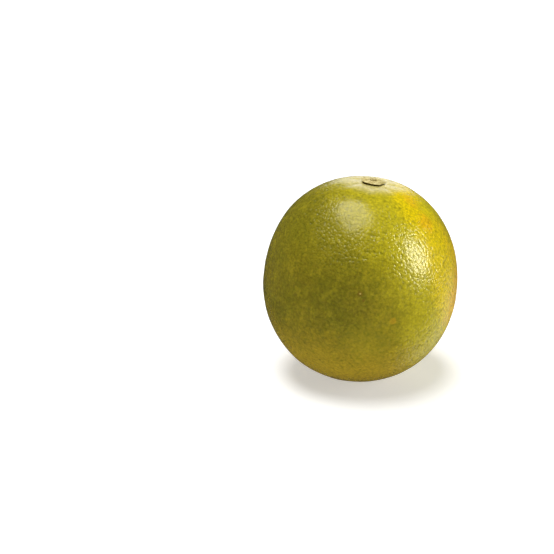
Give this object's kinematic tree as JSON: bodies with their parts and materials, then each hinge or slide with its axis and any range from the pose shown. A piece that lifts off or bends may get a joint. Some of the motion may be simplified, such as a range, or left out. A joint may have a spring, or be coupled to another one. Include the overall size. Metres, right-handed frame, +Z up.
{
  "type": "pera orange",
  "caption": "Whole picked orange, slightly taller than wide, with its dried calyx and broken stalk end, leaning a little on a small flat spot.",
  "frame": {"origin": "centre of the outline seen from above, on the ground plane, inside the flat spot that the orange rests on", "axes": "+Z up, close to the line from blossom end to stem end; the stem end leans 5.6 degrees towards +X; -Y is the side seen in the picture"},
  "size_m": [0.0706, 0.0694, 0.0749],
  "materials": {
    "rind": "pitted waxy citrus rind, olive green turning yellow on one shoulder",
    "dry_calyx": "matt, dried and leathery",
    "dry_stalk": "rough broken stalk"
  },
  "bodies": {
    "root": {"fruit": "rind", "calyx": "dry_calyx", "stalk_end": "dry_stalk"}
  },
  "joints": []
}
